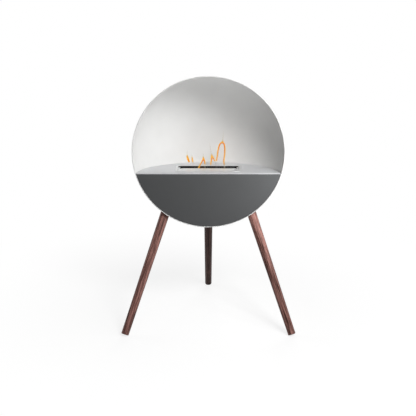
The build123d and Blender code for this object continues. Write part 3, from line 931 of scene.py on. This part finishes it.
class FIREPLACE_OT_legs(bpy.types.Operator):
    """Build the three turned legs and finish the pads between them and the bowl"""

    bl_idname = "fireplace.legs"
    bl_label = "Legs"

    def execute(self, context):
        sizes, colours = context.scene.fireplace_sizes, context.scene.fireplace_colours
        light, dark = tuple(colours.wood_light), tuple(colours.wood_dark)
        wood = stained_wood("Stained_turned_hardwood", light, dark)
        # Painted shade: the rear leg gets a darker copy of the same stained wood, standing in for the
        # bowl's shadow over it
        painted_shade_share = 0.3
        rear_wood_painted_shade = stained_wood("Stained_turned_hardwood_painted_shade", darker(light, painted_shade_share), darker(dark, painted_shade_share))
        side, ahead = sizes.front_foot_side, -sizes.front_foot_ahead
        top_side, top_back = sizes.front_top_side, sizes.front_top_back
        rear = (0.0, sizes.rear_foot_back, 0.0, sizes.rear_top_back)
        # Each leg's node, foot and top, place in the grain, and finish
        legs = (
            ("leg_front_left", (-side, ahead, -top_side, top_back), (0.0, 0.0, 0.0), wood),
            ("leg_front_right", (side, ahead, top_side, top_back), (0.3, 0.1, 0.4), wood),
            ("leg_rear", rear, (0.6, 0.3, 0.8), rear_wood_painted_shade),
        )
        for node, ends, shift, finish in legs:
            leg = make_piece("turned_" + node, leg_mesh(sizes, *ends, shift), "stand", [finish])
            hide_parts(node)
        dress(moulded_rubber("Moulded_black_rubber", tuple(colours.rubber)), "leg_pads")
        return {"FINISHED"}


class FIREPLACE_OT_fittings(bpy.types.Operator):
    """Finish the brackets, sockets, well and fasteners inside the bowl"""

    bl_idname = "fireplace.fittings"
    bl_label = "Fittings"

    def execute(self, context):
        colours = context.scene.fireplace_colours
        brackets = ("deck_bracket_left", "deck_bracket_right", "deck_bracket_rear")
        plates = ("leg_plate_front_left", "leg_plate_front_right", "leg_plate_rear")
        sockets = ("leg_socket_front_left", "leg_socket_front_right", "leg_socket_rear")
        dress(bpy.data.materials["Bowl_powder_coat"], *brackets, *plates, *sockets)
        dress(galvanised_sheet("Hot_dip_galvanised_sheet", tuple(colours.galvanised)), "burner_well")
        zinc = zinc_plating("Bright_zinc_plate", tuple(colours.zinc))
        dress(zinc, "deck_studs", "deck_nuts", "leg_bolts", "panel_clips", "clip_rivets")
        return {"FINISHED"}


class FIREPLACE_OT_flames(bpy.types.Operator):
    """Build the small flames over the fire slot"""

    bl_idname = "fireplace.flames"
    bl_label = "Flames"

    def execute(self, context):
        sizes, colours = context.scene.fireplace_sizes, context.scene.fireplace_colours
        shades = (colours.flame_yellow, colours.flame_orange, colours.flame_pale)
        glow = burning_alcohol("Burning_alcohol", *(tuple(shade) for shade in shades))
        # The slot runs from the open lid back to the burner box's rear wall
        rear_wall = burner_high.y - sizes.burner_flange - sizes.burner_wall
        slot = (lid_high.y + rear_wall) / 2
        for name, rows in flame_outlines.items():
            flame = make_piece(name, flame_mesh(sizes, rows, slot), "burner", [glow], crease=80.0)
            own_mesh(flame)
        return {"FINISHED"}


class FIREPLACE_OT_stage(bpy.types.Operator):
    """Set up the floor, the background, the lamps and the camera"""

    bl_idname = "fireplace.stage"
    bl_label = "Studio"

    def execute(self, context):
        scene = context.scene
        studio = scene.fireplace_studio
        scene.view_settings.view_transform = "Standard"
        bm = bmesh.new()
        bmesh.ops.create_circle(bm, cap_ends=True, radius=studio.floor_radius, segments=64)
        mesh = bpy.data.meshes.new("studio_floor")
        bm.to_mesh(mesh)
        bm.free()
        mesh.materials.append(studio_floor("Studio_floor", tuple(scene.fireplace_colours.floor)))
        floor = bpy.data.objects.new("studio_floor", mesh)
        scene.collection.objects.link(floor)
        scene.world = studio_background("Studio_background", studio.daylight)
        # Each lamp's name, place, width in metres and power in watts
        lamps = (
            ("Key_lamp", (0.92, -1.77, 2.18), 0.8, 44.0),
            ("Side_lamp", (1.5, -1.38, 2.1), 0.9, 9.5),
            ("Near_lamp", (0.45, -0.5, 0.6), 0.35, 1.1),
            ("Panel_lamp", (0.45, -0.25, 0.6), 0.35, 0.7),
            ("Back_lamp", (0.5, 3.0, 2.2), 2.0, 42.0),
            ("Left_lamp", (-2.8, 1.3, 1.6), 1.6, 22.0),
        )
        for lamp in lamps:
            soft_lamp(*lamp)
        lens = bpy.data.cameras.new("Camera")
        lens.lens = studio.camera_lens
        lens.sensor_width = studio.camera_sensor
        camera = bpy.data.objects.new("Camera", lens)
        camera.location = (studio.camera_side, mouth.y - studio.camera_distance, studio.camera_height)
        camera.rotation_euler = (pi / 2 - studio.camera_pitch, 0.0, 0.0)
        scene.collection.objects.link(camera)
        scene.camera = camera
        return {"FINISHED"}


pieces = (
    FIREPLACE_OT_bowl,
    FIREPLACE_OT_deck,
    FIREPLACE_OT_panel,
    FIREPLACE_OT_burner,
    FIREPLACE_OT_lid,
    FIREPLACE_OT_legs,
    FIREPLACE_OT_fittings,
    FIREPLACE_OT_flames,
    FIREPLACE_OT_stage,
)


class FIREPLACE_PT_panel(bpy.types.Panel):
    """Lists the pieces and their sizes and colours"""

    bl_idname = "FIREPLACE_PT_panel"
    bl_label = "Fireplace"
    bl_space_type = "VIEW_3D"
    bl_region_type = "UI"
    bl_category = "Fireplace"

    def draw(self, context):
        layout = self.layout
        for piece in pieces:
            layout.operator(piece.bl_idname)
        scene = context.scene
        for group in (scene.fireplace_sizes, scene.fireplace_colours, scene.fireplace_studio):
            box = layout.box()
            for name in group.__annotations__:
                box.prop(group, name)


groups = {
    "fireplace_sizes": FireplaceSizes,
    "fireplace_colours": FireplaceColours,
    "fireplace_studio": FireplaceStudio,
}


def register():
    """Registers the settings, the operators and the panel."""
    for name, group in groups.items():
        bpy.utils.register_class(group)
        setattr(bpy.types.Scene, name, PointerProperty(type=group))
    for piece in pieces:
        bpy.utils.register_class(piece)
    bpy.utils.register_class(FIREPLACE_PT_panel)


def unregister():
    """Takes the panel, the operators and the settings out again."""
    bpy.utils.unregister_class(FIREPLACE_PT_panel)
    for piece in reversed(pieces):
        bpy.utils.unregister_class(piece)
    for name, group in groups.items():
        delattr(bpy.types.Scene, name)
        bpy.utils.unregister_class(group)


def main():
    """Builds every piece and the studio."""
    register()
    for piece in pieces:
        getattr(bpy.ops.fireplace, piece.bl_idname.split(".")[1])()


if __name__ == "__main__":
    main()
